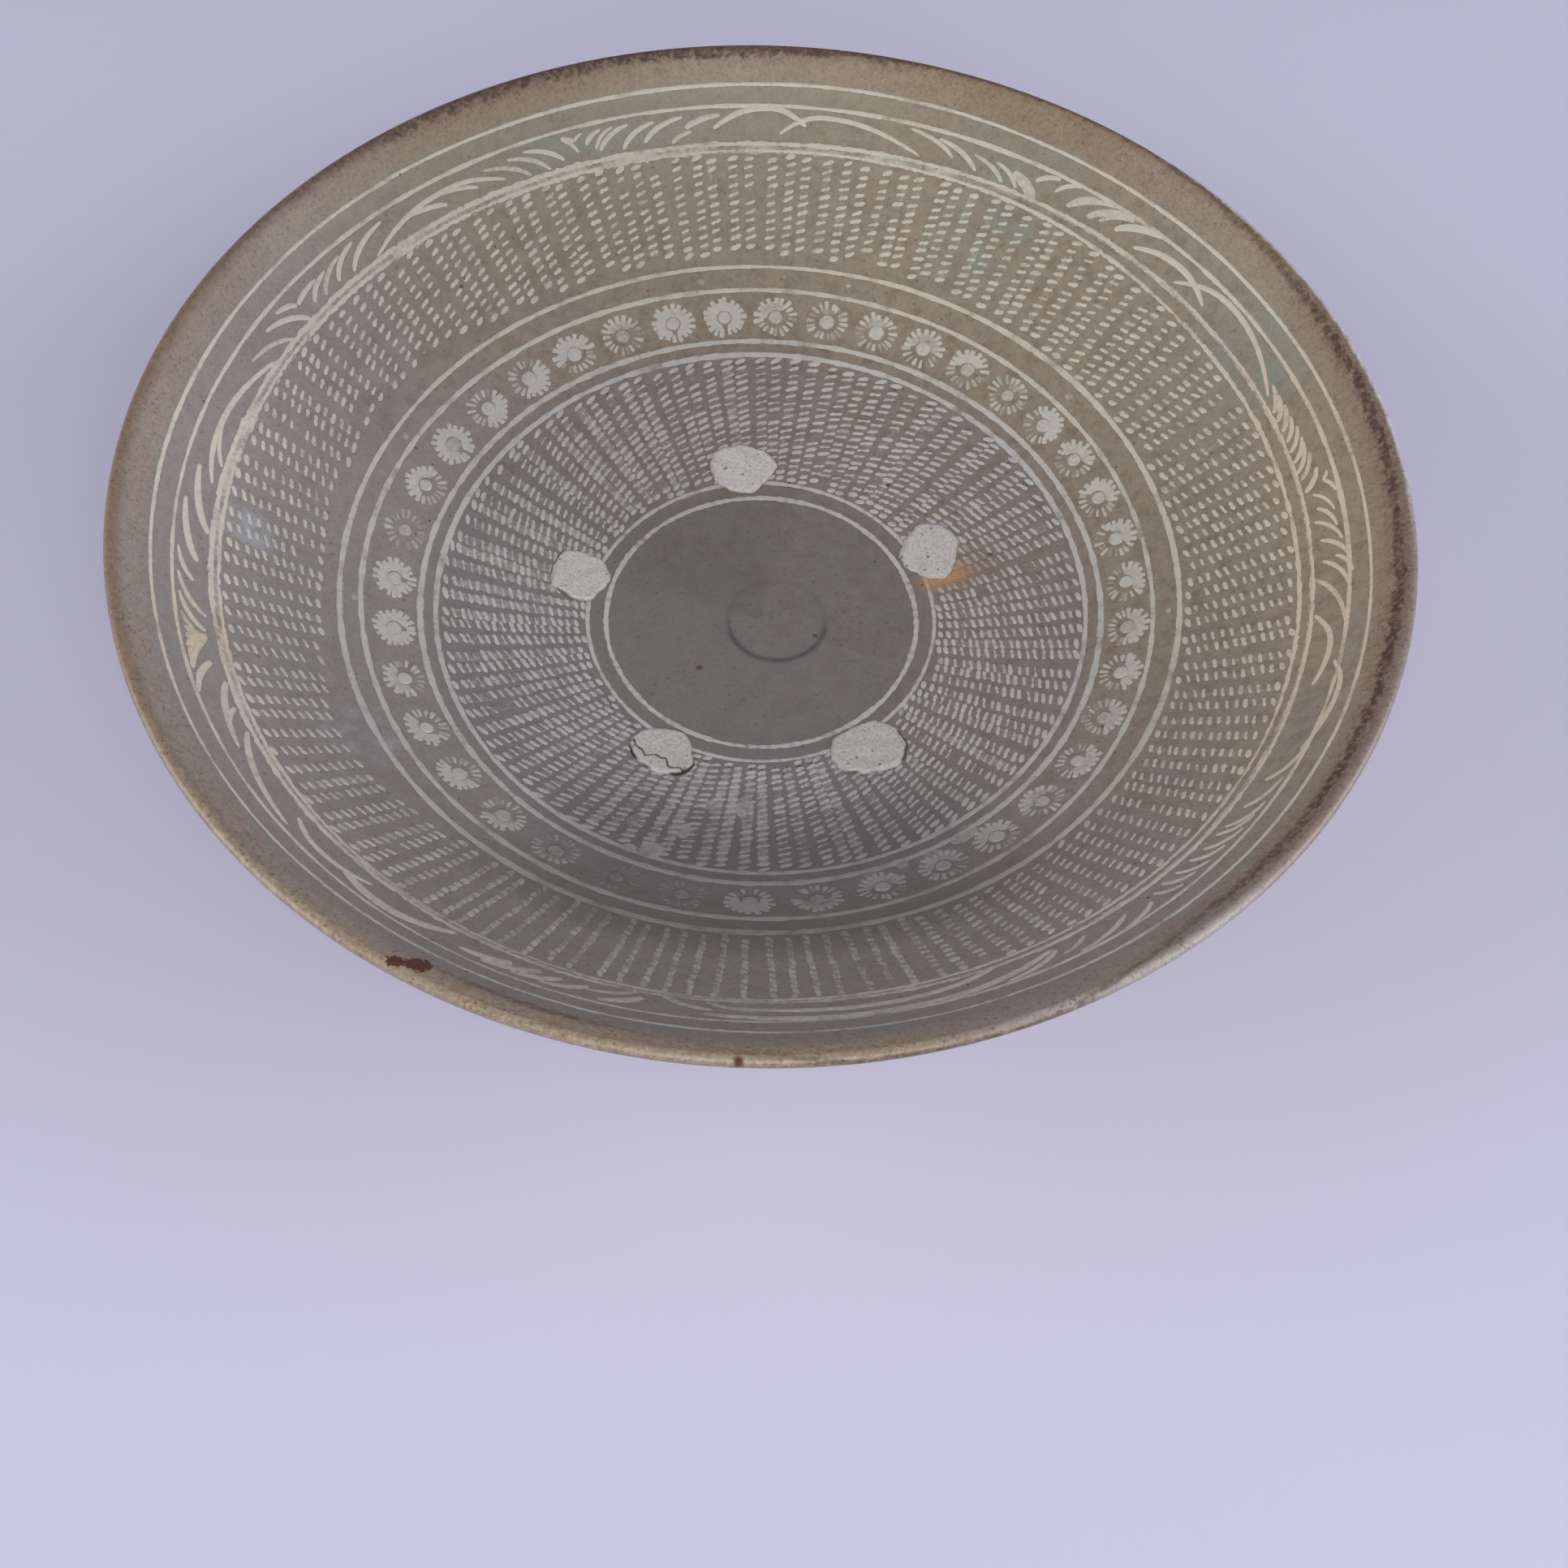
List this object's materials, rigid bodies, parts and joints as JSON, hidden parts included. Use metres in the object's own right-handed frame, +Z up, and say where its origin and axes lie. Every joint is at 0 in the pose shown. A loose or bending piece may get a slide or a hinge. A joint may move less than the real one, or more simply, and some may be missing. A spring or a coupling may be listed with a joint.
{
  "type": "pottery bowl",
  "caption": "Wide shallow stoneware bowl on a turned foot ring, with white slip inlaid inside as ring lines, grass, cord columns and stamped flowers.",
  "frame": {"origin": "middle of the foot ring's resting face, which is the middle of the underside of the bowl's box", "axes": "+Z up along the bowl's own axis; -Y towards the viewer of the reference view"},
  "size_m": [0.25, 0.25, 0.065],
  "materials": {
    "stoneware": "grey-brown stoneware under a clear glossy celadon glaze, iron-brown at the lip",
    "white_slip": "off-white slip under the same clear glaze",
    "stacking_clay": "dry rough fired clay, unglazed"
  },
  "bodies": {
    "root": {"stoneware_body": "stoneware", "line_1": "white_slip", "line_2": "white_slip", "grass_frieze": "white_slip", "outer_curtain": "white_slip", "line_5": "white_slip", "line_6": "white_slip", "flower_01": "white_slip", "flower_02": "white_slip", "flower_03": "white_slip", "flower_04": "white_slip", "flower_05": "white_slip", "flower_06": "white_slip", "flower_07": "white_slip", "flower_08": "white_slip", "flower_09": "white_slip", "flower_10": "white_slip", "flower_11": "white_slip", "flower_12": "white_slip", "flower_13": "white_slip", "flower_14": "white_slip", "flower_15": "white_slip", "flower_16": "white_slip", "flower_17": "white_slip", "flower_18": "white_slip", "flower_19": "white_slip", "flower_20": "white_slip", "flower_21": "white_slip", "flower_22": "white_slip", "flower_23": "white_slip", "flower_24": "white_slip", "flower_25": "white_slip", "flower_26": "white_slip", "flower_27": "white_slip", "flower_28": "white_slip", "flower_29": "white_slip", "flower_30": "white_slip", "flower_31": "white_slip", "flower_32": "white_slip", "flower_33": "white_slip", "flower_34": "white_slip", "flower_35": "white_slip", "flower_36": "white_slip", "flower_37": "white_slip", "flower_38": "white_slip", "flower_39": "white_slip", "line_7": "white_slip", "inner_curtain": "white_slip", "line_9": "white_slip", "line_10": "white_slip", "spur_pad_1": "stacking_clay", "spur_pad_2": "stacking_clay", "spur_pad_3": "stacking_clay", "spur_pad_4": "stacking_clay", "spur_pad_5": "stacking_clay"}
  },
  "joints": []
}
